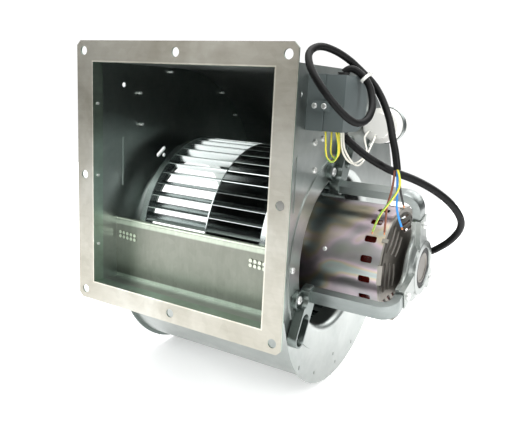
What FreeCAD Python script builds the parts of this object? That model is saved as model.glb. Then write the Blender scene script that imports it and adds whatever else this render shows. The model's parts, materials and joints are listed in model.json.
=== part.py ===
"""Double-inlet centrifugal blower with a direct-drive motor hung in its right inlet.

The frame's origin is the centre of the outlet flange's front face. The air leaves towards -Y, the
wheel and motor turn about an axis along X, the motor is on the +X side and +Z is up.
All sizes are in millimetres and are kept in the spreadsheet called dims.
"""
import FreeCAD, Part
import math
import os
import re

import Sketcher
from FreeCAD import Placement, Rotation, Vector

DIMENSIONS = {
    # outlet flange: an angle frame whose leg lies inside the duct
    "duct_width": 265.0,
    "duct_height": 289.0,
    "flange_width": 320.0,
    "flange_height": 341.0,
    "flange_sheet": 2.0,
    "leg_sheet": 1.5,
    "leg_depth": 17.0,
    "flange_corner": 6.0,
    "flange_hole_radius": 5.5,
    "hole_span_width": 296.0,
    "hole_span_height": 316.0,
    # scroll housing
    "wall": 1.5,
    "screw_radius": 1.9,
    "lip": 5.0,
    "axis_back": 190.0,
    "axis_drop": 91.5,
    "spiral_step": 26.0,
    "front_radius": 144.0,
    "front_angle": 20.0,
    "cutoff_back": 44.0,
    "cutoff_top": 66.0,
    "hem_radius": 4.0,
    # inlet rings
    "mouth_radius": 114.0,
    "throat_radius": 104.0,
    "ring_flange_radius": 137.5,
    "throat_end": 107.0,
    # wheel
    "wheel_radius": 138.0,
    "blade_tip": 136.4,
    "blade_depth": 19.0,
    "blade_lean": 11.0,
    "blade_bow": 3.0,
    "wheel_half": 100.0,
    "blade_count": 48.0,
    "blade_sheet": 1.0,
    "disc_at": 8.0,
    "disc_sheet": 1.5,
    "hub_radius": 15.0,
    "shaft_radius": 6.35,
    "shaft_start": -26.0,
    "shaft_end": 249.0,
    # motor
    "shell_radius": 73.0,
    "shell_wall": 1.5,
    "shell_start": 58.0,
    "shell_end": 224.0,
    "core_start": 110.0,
    "core_end": 180.0,
    "rotor_radius": 40.0,
    "air_gap": 0.5,
    "vent_at": 206.0,
    "vent_length": 15.0,
    "vent_width": 8.5,
    "vent_count": 18.0,
    "vent_turn": 186.2,
    "bearing_radius": 11.0,
    "bearing_length": 14.0,
    "running_gap": 0.05,
    "shield_sheet": 2.0,
    "shield_face": 240.0,
    "shield_turn": 4.0,
    "boss_radius": 19.5,
    "boss_end": 256.5,
    # motor support
    "arm_reach": 104.0,
    "arm_depth": 10.0,
    "arm_width": 19.0,
    "arm_sheet": 2.5,
    "arm_corner": 22.0,
    "arm_face": 256.0,
    "arm_tip": 52.0,
    "upper_angle": 107.0,
    "lower_angle": 201.0,
    "foot_height": 12.0,
    "foot_start_reach": 101.0,
    "foot_bolt_reach": 121.0,
    "foot_bolt_offset": 5.3,
    "foot_end_reach": 143.0,
    "foot_end_offset": 36.6,
    "foot_bolt_radius": 2.5,
    "foot_half_width": 12.0,
    "ear_radius": 12.5,
    "ring_boss_radius": 35.5,
    "ring_front": 258.0,
    "rubber_radius": 26.5,
    "spider_front": 257.5,
    "spider_end": 72.0,
    "spare_front": 252.0,
    "web_radius": 46.0,
    "web_shift": 4.0,
    "web_lean": 154.0,
    "web_sheet": 5.0,
    "web_fillet": 20.0,
    "spare_angle": 334.0,
    "clamp_screw_reach": 62.0,
    # terminal box on the right side plate
    "box_front": 72.0,
    "box_back": 140.0,
    "box_low": 78.0,
    "box_high": 142.0,
    "box_round": 31.0,
    "box_base": 22.0,
    "box_cover": 24.0,
    "box_wall": 2.5,
    "gland_radius": 7.0,
    # capacitor on the right side plate
    "can_radius": 24.5,
    "can_front": 248.0,
    "can_length": 78.0,
    "can_out": 161.5,
    "can_up": 80.8,
    "cap_length": 12.0,
    "clip_screw_offset": 28.0,
    # cords
    "supply_cable_radius": 4.2,
    "motor_cable_radius": 4.6,
    "core_radius": 1.25,
    "lead_radius": 1.2,
}

doc = FreeCAD.newDocument("blower")
dims = doc.addObject("Spreadsheet::Sheet", "dims")
for row, (alias, number) in enumerate(DIMENSIONS.items(), start=1):
    dims.set("A%d" % row, alias)
    dims.set("B%d" % row, str(number))
    dims.setAlias("B%d" % row, alias)
doc.recompute()

nodes = []


# ---------------------------------------------------------------- helpers

def bind(text):
    """Turn an expression in plain dimension names into one that reads the sheet."""
    return re.sub(r"\b([a-z]\w*)\b(?!\()(?<!deg)", r"dims.\1", str(text))


def value(text):
    """The present value of an expression in dimension names."""
    result = dims.evalExpression(str(text))
    return float(getattr(result, "Value", result))


def register(obj, label):
    """Name an object and keep it as one of the sub-parts."""
    obj.Label = label
    nodes.append(obj)
    return obj


def place(obj, x="0", y="0", z="0", turn_axis=None, turn="0"):
    """Bind an object's position, and a turn about one axis, to the sheet."""
    if turn_axis is not None:
        obj.Placement = Placement(Vector(0, 0, 0), Rotation(turn_axis, value(turn)))
        obj.setExpression("Placement.Rotation.Angle", bind(turn))
    obj.setExpression("Placement.Base.x", bind(x))
    obj.setExpression("Placement.Base.y", bind(y))
    obj.setExpression("Placement.Base.z", bind(z))
    return obj


def new_body(label, **placement):
    """A PartDesign body that becomes the sub-part of that name."""
    body = doc.addObject("PartDesign::Body", label)
    place(body, **placement)
    return register(body, label)


def axis_body(label, turn_axis=Vector(1, 0, 0), turn="0"):
    """A body whose local X axis is the axis of the wheel and motor."""
    return new_body(label, y="axis_back", z="-axis_drop", turn_axis=turn_axis, turn=turn)


def origin_feature(body, role):
    for feature in body.Origin.OriginFeatures:
        if feature.Role == role:
            return feature
    raise ValueError(role)


def new_sketch(body, plane, offset="0", right="0", up="0", turn="0"):
    """A sketch on one of the body's planes, offset from it, and shifted and turned within it."""
    sketch = body.newObject("Sketcher::SketchObject", body.Name + "_sketch")
    sketch.AttachmentSupport = [(origin_feature(body, plane), "")]
    sketch.MapMode = "FlatFace"
    sketch.AttachmentOffset = Placement(Vector(0, 0, 0), Rotation(Vector(0, 0, 1), value(turn)))
    sketch.setExpression("AttachmentOffset.Rotation.Angle", bind(turn))
    sketch.setExpression("AttachmentOffset.Base.x", bind(right))
    sketch.setExpression("AttachmentOffset.Base.y", bind(up))
    sketch.setExpression("AttachmentOffset.Base.z", bind(offset))
    return sketch


def pin_point(sketch, geometry, point, x, y):
    """Constrain one point of a sketch to two expressions."""
    for kind, text in (("DistanceX", x), ("DistanceY", y)):
        index = sketch.addConstraint(Sketcher.Constraint(kind, -1, 1, geometry, point, value(text)))
        sketch.setExpression("Constraints[%d]" % index, bind(text))


def arc_between(start, end, radius, turn):
    """The minor arc of that radius between two points; turn is ccw or cw."""
    chord = end - start
    middle = (start + end) * 0.5
    height = math.sqrt(max(radius ** 2 - (chord.Length / 2) ** 2, 0.0))
    side = Vector(-chord.y, chord.x, 0).normalize()
    centre = middle + side * (height if turn == "ccw" else -height)
    first, last = (start, end) if turn == "ccw" else (end, start)
    angles = [math.atan2(p.y - centre.y, p.x - centre.x) for p in (first, last)]
    circle = Part.Circle(centre, Vector(0, 0, 1), radius)
    return Part.ArcOfCircle(circle, angles[0], angles[1])


def outline(sketch, vertices):
    """A closed outline of lines and arcs.

    A vertex is (x, y), or (x, y, radius, "ccw" or "cw") when an arc leads to the next one.
    """
    points = [Vector(value(v[0]), value(v[1]), 0) for v in vertices]
    starts = []
    for number, vertex in enumerate(vertices):
        start = points[number]
        end = points[(number + 1) % len(points)]
        if len(vertex) == 2:
            geometry = sketch.addGeometry(Part.LineSegment(start, end), False)
            starts.append((geometry, 1, 2))
            continue
        geometry = sketch.addGeometry(arc_between(start, end, value(vertex[2]), vertex[3]), False)
        starts.append((geometry, 1, 2) if vertex[3] == "ccw" else (geometry, 2, 1))
    for number, vertex in enumerate(vertices):
        geometry, first, last = starts[number]
        following = starts[(number + 1) % len(starts)]
        joined = Sketcher.Constraint("Coincident", geometry, last, following[0], following[1])
        sketch.addConstraint(joined)
        pin_point(sketch, geometry, first, vertex[0], vertex[1])
    for number, vertex in enumerate(vertices):
        if len(vertex) == 4:
            radius = Sketcher.Constraint("Radius", starts[number][0], value(vertex[2]))
            index = sketch.addConstraint(radius)
            sketch.setExpression("Constraints[%d]" % index, bind(vertex[2]))


def circle(sketch, x, y, radius):
    shape = Part.Circle(Vector(value(x), value(y), 0), Vector(0, 0, 1), value(radius))
    geometry = sketch.addGeometry(shape, False)
    pin_point(sketch, geometry, 3, x, y)
    index = sketch.addConstraint(Sketcher.Constraint("Radius", geometry, value(radius)))
    sketch.setExpression("Constraints[%d]" % index, bind(radius))


def rectangle(sketch, left, bottom, right, top):
    outline(sketch, [(left, bottom), (right, bottom), (right, top), (left, top)])


def rounded_rectangle(sketch, left, bottom, right, top, corner):
    outline(sketch, [
        (left + " + " + corner, bottom),
        (right + " - " + corner, bottom, corner, "ccw"),
        (right, bottom + " + " + corner),
        (right, top + " - " + corner, corner, "ccw"),
        (right + " - " + corner, top),
        (left + " + " + corner, top, corner, "ccw"),
        (left, top + " - " + corner),
        (left, bottom + " + " + corner, corner, "ccw"),
    ])


def extrude(body, kind, sketch, length, backwards=False):
    """A Pad or a Pocket of that length."""
    feature = body.newObject("PartDesign::" + kind, body.Name + "_" + kind.lower())
    feature.Profile = sketch
    feature.setExpression("Length", bind(length))
    feature.Reversed = backwards
    body.Tip = feature
    return feature


def revolve(body, sketch):
    """Turn a profile through a full circle about the sketch's horizontal axis."""
    feature = body.newObject("PartDesign::Revolution", body.Name + "_revolution")
    feature.Profile = sketch
    feature.ReferenceAxis = (sketch, ["H_Axis"])
    feature.Angle = 360
    body.Tip = feature
    return feature


def polar(body, original, count):
    """Repeat a feature about the body's X axis."""
    feature = body.newObject("PartDesign::PolarPattern", body.Name + "_pattern")
    feature.Originals = [original]
    feature.Axis = (origin_feature(body, "X_Axis"), [""])
    feature.Angle = 360
    feature.setExpression("Occurrences", bind(count))
    body.Tip = feature
    return feature


def turned_part(label, profile, turn_axis=Vector(1, 0, 0), turn="0"):
    """A body turned about the motor axis; the profile is (along the axis, radius)."""
    body = axis_body(label, turn_axis, turn)
    sketch = new_sketch(body, "XY_Plane")
    outline(sketch, profile)
    revolve(body, sketch)
    return body


def solid_group(label, solids):
    """One sub-part that holds several separate solids, or one free-form solid."""
    obj = doc.addObject("Part::Feature", label)
    obj.Shape = solids[0] if len(solids) == 1 else Part.makeCompound(solids)
    return register(obj, label)


def axis_point(x, reach, angle, sideways=0.0):
    """A point given along, out from and around the motor axis, in degrees from +Y towards +Z."""
    turn = math.radians(angle)
    out = Vector(0, math.cos(turn), math.sin(turn))
    across = Vector(0, -math.sin(turn), math.cos(turn))
    centre = Vector(x, value("axis_back"), -value("axis_drop"))
    return centre + out * reach + across * sideways


def screw(head_base, direction, head_radius, head_height, shank_radius, shank_length):
    """A cross-recessed pan-head screw; its head stands on head_base and points along direction."""
    unit = Vector(direction).normalize()
    head = Part.makeCylinder(head_radius, head_height, head_base, unit)
    rim = [edge for edge in head.Edges
           if abs((edge.CenterOfMass - head_base).dot(unit) - head_height) < 1e-6]
    head = head.makeFillet(head_height * 0.45, rim)
    shank = Part.makeCylinder(shank_radius, shank_length, head_base - unit * shank_length, unit)
    body = head.fuse(shank)
    side = unit.cross(Vector(0, 0, 1) if abs(unit.z) < 0.9 else Vector(0, 1, 0)).normalize()
    other = unit.cross(side)
    for along, across in ((side, other), (other, side)):
        slot = Part.makeBox(head_radius * 1.2, head_radius * 0.22, head_height)
        slot.translate(Vector(-head_radius * 0.6, -head_radius * 0.11, 0))
        frame = FreeCAD.Matrix(along.x, across.x, unit.x, 0, along.y, across.y, unit.y, 0,
                               along.z, across.z, unit.z, 0, 0, 0, 0, 1)
        if frame.determinant() < 0:
            frame = FreeCAD.Matrix(along.x, -across.x, unit.x, 0, along.y, -across.y, unit.y, 0,
                                   along.z, -across.z, unit.z, 0, 0, 0, 0, 1)
        stand = Placement(head_base + unit * head_height * 0.5, Placement(frame).Rotation)
        slot.Placement = stand.multiply(slot.Placement)
        body = body.cut(slot)
    return body


# ---------------------------------------------------------------- outlet flange

def make_outlet_flange():
    body = new_body("outlet_flange")
    face = new_sketch(body, "XZ_Plane")
    cut = "flange_corner"
    half_x, half_z = "flange_width / 2", "flange_height / 2"
    corners = []
    for sign_x, sign_z, first in ((1, 1, "z"), (-1, 1, "x"), (-1, -1, "z"), (1, -1, "x")):
        near_x = ("%d * (%s)" % (sign_x, half_x), "%d * (%s - %s)" % (sign_z, half_z, cut))
        near_z = ("%d * (%s - %s)" % (sign_x, half_x, cut), "%d * (%s)" % (sign_z, half_z))
        corners += [near_x, near_z] if first == "z" else [near_z, near_x]
    outline(face, corners)
    rectangle(face, "-duct_width / 2", "-duct_height / 2", "duct_width / 2", "duct_height / 2")
    for column in (-1, 0, 1):
        for line in (-1, 0, 1):
            if column or line:
                circle(face, "%d * hole_span_width / 2" % column, "%d * hole_span_height / 2" % line,
                       "flange_hole_radius")
    extrude(body, "Pad", face, "flange_sheet", backwards=True)
    leg = new_sketch(body, "XZ_Plane")
    out_x, out_z = "(duct_width / 2 + leg_sheet)", "(duct_height / 2 + leg_sheet)"
    rectangle(leg, "-" + out_x, "-" + out_z, out_x, out_z)
    rectangle(leg, "-duct_width / 2", "-duct_height / 2", "duct_width / 2", "duct_height / 2")
    extrude(body, "Pad", leg, "leg_depth", backwards=True)
    drill_through(body, FLANGE_RIVETS)


def drill_through(body, places):
    """Screw holes along X through both sides of a sheet part that lies between the side plates."""
    holes = new_sketch(body, "YZ_Plane", "-(%s) - 1" % SIDE)
    for back, high in places:
        circle(holes, str(back), str(high), "screw_radius + 0.1")
    extrude(body, "Pocket", holes, "2 * (%s) + 2" % SIDE, backwards=True)


# ---------------------------------------------------------------- scroll housing

SIDE = "duct_width / 2 + leg_sheet"
TOP = "(duct_height / 2 + leg_sheet)"
ARC_HIGH = "(spiral_step / 2 - axis_drop)"
BACK_CENTRE = "(axis_back - spiral_step / 2)"
LOW_CENTRE = "(axis_back + spiral_step / 2)"
BACK_RADIUS = "(duct_height / 2 + leg_sheet + axis_drop - spiral_step / 2)"
LOW_RADIUS = "(duct_height / 2 + leg_sheet + axis_drop - spiral_step * 1.5)"
FRONT_CENTRE = "(" + ARC_HIGH + " - " + LOW_RADIUS + " + front_radius)"
FRONT_COS = "cos(front_angle * 1deg)"
FRONT_SIN = "sin(front_angle * 1deg)"


def scroll_path(out):
    """The scroll's outline, moved outwards, from the top of the flange round to its bottom."""
    radius = "(front_radius + %s)" % out
    tangent = ("%s - %s * %s" % (LOW_CENTRE, radius, FRONT_COS),
               "%s - %s * %s" % (FRONT_CENTRE, radius, FRONT_SIN))
    shelf = "-(%s + %s)" % (TOP, out)
    bend = "(%s) - ((%s) - (%s)) * tan(front_angle * 1deg)" % (tangent[0], shelf, tangent[1])
    return [
        ("flange_sheet", "%s + %s" % (TOP, out)),
        (BACK_CENTRE, "%s + %s" % (TOP, out), "%s + %s" % (BACK_RADIUS, out), "cw"),
        ("%s + %s + %s" % (BACK_CENTRE, BACK_RADIUS, out), ARC_HIGH, "%s + %s" % (LOW_RADIUS, out), "cw"),
        (LOW_CENTRE, "%s - %s - %s" % (ARC_HIGH, LOW_RADIUS, out), radius, "cw"),
        tangent,
        (bend, shelf),
        ("flange_sheet", shelf),
    ]


def reversed_path(path):
    """The same outline run backwards, with each arc kept on its own stretch."""
    backwards = []
    for number in range(len(path) - 1, -1, -1):
        arc = path[number - 1][2:] if number > 0 else ()
        flipped = (arc[0], "ccw") if arc else ()
        backwards.append(path[number][:2] + flipped)
    return backwards


def make_scroll_wrap():
    body = new_body("scroll_wrap")
    sketch = new_sketch(body, "YZ_Plane", "-(%s)" % SIDE)
    outline(sketch, scroll_path("0") + reversed_path(scroll_path("wall")))
    extrude(body, "Pad", sketch, "2 * (%s)" % SIDE)


def make_side_plate(label, side):
    """A flat side plate, with its inlet hole, a stiffening rib and the lock-seam slots."""
    body = new_body(label)
    inner = SIDE if side > 0 else "-(%s) - wall" % SIDE
    sketch = new_sketch(body, "YZ_Plane", inner)
    outline(sketch, scroll_path("(wall + lip)"))
    circle(sketch, "axis_back", "-axis_drop", "mouth_radius + 0.5")
    circle(sketch, "57", "118", "3.2")
    for back, high in PLATE_SCREWS[side] + FLANGE_RIVETS + [CUTOFF_SCREW]:
        circle(sketch, str(back), str(high), "screw_radius + 0.1")
    if side > 0:
        for back, high in BOX_SCREWS:
            circle(sketch, str(back), str(high), "screw_radius + 0.1")
        for sign in (-1, 1):
            circle(sketch, "can_front + 32", "can_up + %d * clip_screw_offset" % sign, "screw_radius + 0.1")
        for name, angle, lean in ARMS:
            for reach, across in (END_BOLT, ROOT_BOLT):
                back, high = around_axis(angle, reach, across % lean)
                circle(sketch, "axis_back + " + back, "-axis_drop + " + high, "foot_bolt_radius + 0.2")
    for back, high, width, height in SEAM_SLOTS:
        rectangle(sketch, str(back - width / 2), str(high - height / 2), str(back + width / 2),
                  str(high + height / 2))
    extrude(body, "Pad", sketch, "wall")
    if side < 0:
        pierce(body, inner, LEFT_SLOT, LEFT_HOLE, "wall")
    rib_face = SIDE + " + wall" if side > 0 else "-(%s)" % SIDE
    rib = new_sketch(body, "YZ_Plane", rib_face)
    rounded_rectangle(rib, "55", "-19", "59", "48", "1.5")
    extrude(body, "Pad", rib, "1.2")


def pierce(body, offset, slot_place, hole_place, depth):
    """A slanted slot and a round hole beside it, in a plane across the motor axis."""
    slot = new_sketch(body, "YZ_Plane", offset, right=slot_place[0], up=slot_place[1], turn=slot_place[2])
    rounded_rectangle(slot, "-10.8", "-3", "10.8", "3", "2.9")
    extrude(body, "Pocket", slot, depth, backwards=True)
    hole = new_sketch(body, "YZ_Plane", offset)
    circle(hole, hole_place[0], hole_place[1], "3")
    extrude(body, "Pocket", hole, depth, backwards=True)


def around_axis(angle, reach, across):
    """Expressions for a point out along an arm and sideways from it, from the motor axis."""
    turn = "(%s * 1deg)" % angle
    return ("(%s) * cos(%s) - (%s) * sin(%s)" % (reach, turn, across, turn),
            "(%s) * sin(%s) + (%s) * cos(%s)" % (reach, turn, across, turn))


LEFT_SLOT = ("134.5", "23.3", "35")
LEFT_HOLE = ("141", "18")
END_BOLT = ("foot_end_reach", "%d * foot_end_offset")
ROOT_BOLT = ("foot_bolt_reach", "-%d * foot_bolt_offset")
PLATE_SCREWS = {-1: [(86, 108), (89, 65), (152, 140), (285, 113), (326, 76)],
                1: [(100, 62), (122, 66), (104, 28)]}
BOX_SCREWS = [(80, 86), (80, 134)]
FLANGE_RIVETS = [(8, 93), (8, 0), (8, -93)]
CUTOFF_SCREW = (60, -89)
SEAM_SLOTS = [(133, -202, 3, 4), (134, -211, 7, 4), (99, -231, 2, 6), (147, -257, 2, 5), (139, -267, 2, 5),
              (209, -252, 2, 5), (219, -268, 2, 5), (207, -282, 2, 5), (277, -257, 2, 6)]


def make_cutoff_plate():
    """The upright sheet that closes the lower part of the outlet, with a rolled top edge."""
    body = new_body("cutoff_plate")
    sketch = new_sketch(body, "YZ_Plane", "-(%s)" % SIDE)
    hem_centre = "cutoff_back + hem_radius"
    outline(sketch, [
        ("cutoff_back", "-" + TOP),
        ("cutoff_back + 9", "-" + TOP),
        ("cutoff_back + 9", "-%s + wall" % TOP),
        ("cutoff_back + wall", "-%s + wall" % TOP),
        ("cutoff_back + wall", "-cutoff_top", "hem_radius - wall", "cw"),
        (hem_centre, "-cutoff_top + hem_radius - wall", "hem_radius - wall", "cw"),
        ("%s + hem_radius - wall" % hem_centre, "-cutoff_top"),
        ("%s + hem_radius" % hem_centre, "-cutoff_top", "hem_radius", "ccw"),
        (hem_centre, "-cutoff_top + hem_radius", "hem_radius", "ccw"),
        ("cutoff_back", "-cutoff_top"),
    ])
    extrude(body, "Pad", sketch, "2 * (%s)" % SIDE)
    for side in (-1, 1):
        tab = new_sketch(body, "YZ_Plane", SIDE + " - wall" if side > 0 else "-(%s)" % SIDE)
        rectangle(tab, "cutoff_back + wall", "-104", "cutoff_back + 20", "-76")
        extrude(body, "Pad", tab, "wall")
    drill_through(body, [CUTOFF_SCREW])
    dimples = new_sketch(body, "XZ_Plane", "-cutoff_back")
    for start in (-126.0, 88.0):
        for column in range(5):
            for line in range(2):
                circle(dimples, str(start + 6.5 * column), str(-82 - 6 * line - 0.4 * column), "2.3")
    extrude(body, "Pad", dimples, "1.3")


def make_inlet_ring(label, turn, side):
    """A bellmouth: a flat flange on the side plate that rounds into the throat."""
    bend = "mouth_radius - throat_radius"
    face = SIDE + " + wall + 1.5"
    body = turned_part(label, [
        ("throat_end", "throat_radius"),
        ("%s - (%s)" % (face, bend), "throat_radius", bend, "ccw"),
        (face, "mouth_radius"),
        (face, "ring_flange_radius"),
        (face + " - 1.5", "ring_flange_radius"),
        (face + " - 1.5", "mouth_radius", bend + " - 1.5", "cw"),
        ("%s - (%s)" % (face, bend), "throat_radius + 1.5"),
        ("throat_end", "throat_radius + 1.5"),
    ], turn_axis=Vector(0, 0, 1), turn=turn)
    holes = new_sketch(body, "YZ_Plane", face + " - 6")
    circle(holes, "%d * (%d - axis_back)" % (side, CUTOFF_SCREW[0]), "axis_drop + (%d)" % CUTOFF_SCREW[1],
           "screw_radius + 0.1")
    if side > 0:
        for name, angle, lean in ARMS:
            back, high = around_axis(angle, ROOT_BOLT[0], ROOT_BOLT[1] % lean)
            circle(holes, back, high, "foot_bolt_radius + 0.2")
    extrude(body, "Pocket", holes, "8", backwards=True)
    if side < 0:
        slot = ("axis_back - " + LEFT_SLOT[0], "axis_drop + " + LEFT_SLOT[1], "-" + LEFT_SLOT[2])
        hole = ("axis_back - " + LEFT_HOLE[0], "axis_drop + " + LEFT_HOLE[1])
        pierce(body, face + " - 4", slot, hole, "6")


# ---------------------------------------------------------------- wheel

def make_blades(label, start, end):
    """One half's forward-curved blades, each a thin arc whose hollow side faces the way it turns."""
    tip = value("blade_tip")
    outer = Vector(0, tip, value("blade_lean") / 2)
    inner = Vector(0, tip - value("blade_depth"), -value("blade_lean") / 2)
    along = (outer - inner).normalize()
    across = Vector(0, along.z, -along.y)
    middle = (outer + inner) * 0.5 + across * value("blade_bow")
    half = across * (value("blade_sheet") / 2)
    near = [point - half for point in (outer, middle, inner)]
    far = [point + half for point in (outer, middle, inner)]
    section = Part.Face(Part.Wire([
        Part.Arc(near[0], near[1], near[2]).toShape(),
        Part.LineSegment(near[2], far[2]).toShape(),
        Part.Arc(far[2], far[1], far[0]).toShape(),
        Part.LineSegment(far[0], near[0]).toShape(),
    ]))
    blade = section.extrude(Vector(end - start, 0, 0))
    blade.translate(Vector(start, 0, 0))
    centre = Vector(0, value("axis_back"), -value("axis_drop"))
    count = int(value("blade_count"))
    solids = []
    for number in range(count):
        copy = blade.copy()
        copy.rotate(Vector(0, 0, 0), Vector(1, 0, 0), 360.0 * number / count)
        copy.translate(centre)
        solids.append(copy)
    solid_group(label, solids)


def make_wheel():
    turned_part("impeller_disc", [
        ("disc_at", "shaft_radius + 0.3"),
        ("disc_at + disc_sheet", "shaft_radius + 0.3"),
        ("disc_at + disc_sheet", "blade_tip + 0.3"),
        ("disc_at", "blade_tip + 0.3"),
    ])
    disc_left = value("disc_at")
    disc_right = value("disc_at + disc_sheet")
    make_blades("impeller_blades_left", -value("wheel_half"), disc_left)
    make_blades("impeller_blades_right", disc_right, value("wheel_half"))
    for label, turn in (("impeller_end_ring_left", "180"), ("impeller_end_ring_right", "0")):
        turned_part(label, [
            ("wheel_half", "blade_tip - blade_depth - 2"),
            ("wheel_half + 1.2", "blade_tip - blade_depth - 2"),
            ("wheel_half + 1.2", "wheel_radius"),
            ("wheel_half - 8", "wheel_radius"),
            ("wheel_half - 8", "wheel_radius - 1.2"),
            ("wheel_half", "wheel_radius - 1.2"),
        ], turn_axis=Vector(0, 0, 1), turn=turn)
    turned_part("impeller_hub", [
        ("disc_at - 32", "shaft_radius + running_gap"),
        ("disc_at", "shaft_radius + running_gap"),
        ("disc_at", "hub_radius + 13"),
        ("disc_at - 3", "hub_radius + 13"),
        ("disc_at - 3", "hub_radius"),
        ("disc_at - 32", "hub_radius"),
    ])
    rivets = [Part.makeCylinder(2.5, 2.0, axis_point(disc_left - 5, 22, 45 + 90 * n), Vector(1, 0, 0))
              for n in range(4)]
    solid_group("hub_rivets", rivets)
    top = axis_point(disc_left - 18, value("hub_radius") - 0.5, 90)
    solid_group("hub_clamp_screw", [Part.makeCylinder(3.0, 5.5, top, Vector(0, 0, 1))])
    turned_part("motor_shaft", [
        ("shaft_start", "0"),
        ("shaft_end", "0"),
        ("shaft_end", "shaft_radius"),
        ("shaft_start", "shaft_radius"),
    ])
    turned_part("rotor_core", [
        ("core_start - 2", "shaft_radius + running_gap"),
        ("core_end + 2", "shaft_radius + running_gap"),
        ("core_end + 2", "rotor_radius"),
        ("core_start - 2", "rotor_radius"),
    ])


# ---------------------------------------------------------------- motor

def make_shell():
    body = axis_body("motor_shell", turn="vent_turn")
    sketch = new_sketch(body, "XY_Plane")
    rectangle(sketch, "shell_start", "shell_radius - shell_wall", "shell_end", "shell_radius")
    revolve(body, sketch)
    vent = new_sketch(body, "XZ_Plane", "-shell_radius - 5", right="vent_at")
    rounded_rectangle(vent, "-vent_length / 2", "-vent_width / 2", "vent_length / 2", "vent_width / 2",
                      "2.5")
    pocket = extrude(body, "Pocket", vent, "shell_wall + 10", backwards=True)
    polar(body, pocket, "vent_count")


def make_outer_shield():
    """The dished outer end shield: crimp tabs on its rim, groups of louvre slits and a closed boss."""
    body = axis_body("end_shield_outer", turn="shield_turn")
    sketch = new_sketch(body, "XY_Plane")
    outline(sketch, [
        ("shell_end", "shell_radius + 1.6"),
        ("shell_end", "shell_radius - 6"),
        ("shield_face - shield_sheet", "34"),
        ("shield_face - shield_sheet", "bearing_radius + 5"),
        ("shell_end + 1", "bearing_radius + 5"),
        ("shell_end + 1", "bearing_radius + 0.05"),
        ("shield_face - shield_sheet", "bearing_radius + 0.05"),
        ("shield_face - shield_sheet", "shaft_radius + 0.4"),
        ("boss_end - 5", "shaft_radius + 0.4"),
        ("boss_end - 5", "0"),
        ("boss_end - 0.8", "0"),
        ("boss_end - 0.8", "boss_radius - 3"),
        ("boss_end", "boss_radius - 2"),
        ("boss_end", "boss_radius"),
        ("shield_face", "boss_radius"),
        ("shield_face", "34.8"),
        ("shell_end + shield_sheet", "shell_radius - 5"),
        ("shell_end + shield_sheet", "shell_radius + 1.6"),
    ])
    revolve(body, sketch)
    for group in range(1, LOUVRE_GROUPS):
        louvres = new_sketch(body, "YZ_Plane", "shell_end - 2", turn="%g" % (360 * group / LOUVRE_GROUPS))
        for reach, half in ((62, 19), (55, 17), (48, 14.5)):
            rectangle(louvres, str(reach - 1.7), str(-half), str(reach + 1.7), str(half))
        extrude(body, "Pocket", louvres, "30", backwards=True)
    for turn, start, half, length in ((142, 3, 2.5, 8), (175, 1, 12, 6)):
        tab = new_sketch(body, "YZ_Plane", "shell_end - %d" % start, turn=str(turn))
        rectangle(tab, "shell_radius + 0.1", str(-half), "shell_radius + 2", str(half))
        polar(body, extrude(body, "Pad", tab, str(length)), "4")
    entry = new_sketch(body, "YZ_Plane", "shell_end - 10")
    turn = math.radians(-value("shield_turn"))
    back = CABLE_ENTRY[0] - value("axis_back")
    high = CABLE_ENTRY[1] + value("axis_drop")
    circle(entry, str(round(back * math.cos(turn) - high * math.sin(turn), 3)),
           str(round(back * math.sin(turn) + high * math.cos(turn), 3)), "7.5")
    extrude(body, "Pocket", entry, "40", backwards=True)


LOUVRE_GROUPS = 8
CABLE_ENTRY = (239.0, -86.0)


def make_motor():
    make_shell()
    turned_part("stator_core", [
        ("core_start", "rotor_radius + air_gap"),
        ("core_end", "rotor_radius + air_gap"),
        ("core_end", "shell_radius - shell_wall - 0.1"),
        ("core_start", "shell_radius - shell_wall - 0.1"),
    ])
    turned_part("stator_winding_inner", [
        ("core_start - 22", "45"), ("core_start", "45"), ("core_start", "62"), ("core_start - 16", "62"),
        ("core_start - 22", "56"),
    ])
    turned_part("stator_winding_outer", [
        ("core_end", "45"), ("core_end + 37", "45"), ("core_end + 37", "56"), ("core_end + 31", "62"),
        ("core_end", "62"),
    ])
    turned_part("end_shield_inner", [
        ("shell_start", "shaft_radius + 0.4"),
        ("shell_start + shield_sheet", "shaft_radius + 0.4"),
        ("shell_start + shield_sheet", "bearing_radius + 0.05"),
        ("shell_start + shield_sheet + bearing_length", "bearing_radius + 0.05"),
        ("shell_start + shield_sheet + bearing_length", "bearing_radius + 5"),
        ("shell_start + shield_sheet", "bearing_radius + 5"),
        ("shell_start + shield_sheet", "shell_radius - shell_wall - 0.1"),
        ("shell_start", "shell_radius - shell_wall - 0.1"),
    ])
    make_outer_shield()
    entry = Part.makeCylinder(7.5, 10, Vector(value("shell_end") + 2, *CABLE_ENTRY), Vector(1, 0, 0))
    solid_group("motor_entry_gland", [entry])
    for label, start in (("bearing_inner", "shell_start + shield_sheet"),
                         ("bearing_outer", "shield_face - shield_sheet - bearing_length + 1")):
        end = "%s + bearing_length - 1" % start
        turned_part(label, [
            (start, "shaft_radius + running_gap"),
            (end, "shaft_radius + running_gap"),
            (end, "bearing_radius"),
            (start, "bearing_radius"),
        ])
    rivet_out = value("shell_radius") + 0.05
    rivets = []
    for number in range(3):
        base = axis_point(150, rivet_out, 164 + 120 * number)
        out = axis_point(150, rivet_out + 1, 164 + 120 * number) - base
        rivets.append(Part.makeCone(3.0, 1.8, 1.6, base, out))
    solid_group("shell_rivets", rivets)


# ---------------------------------------------------------------- motor support

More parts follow.
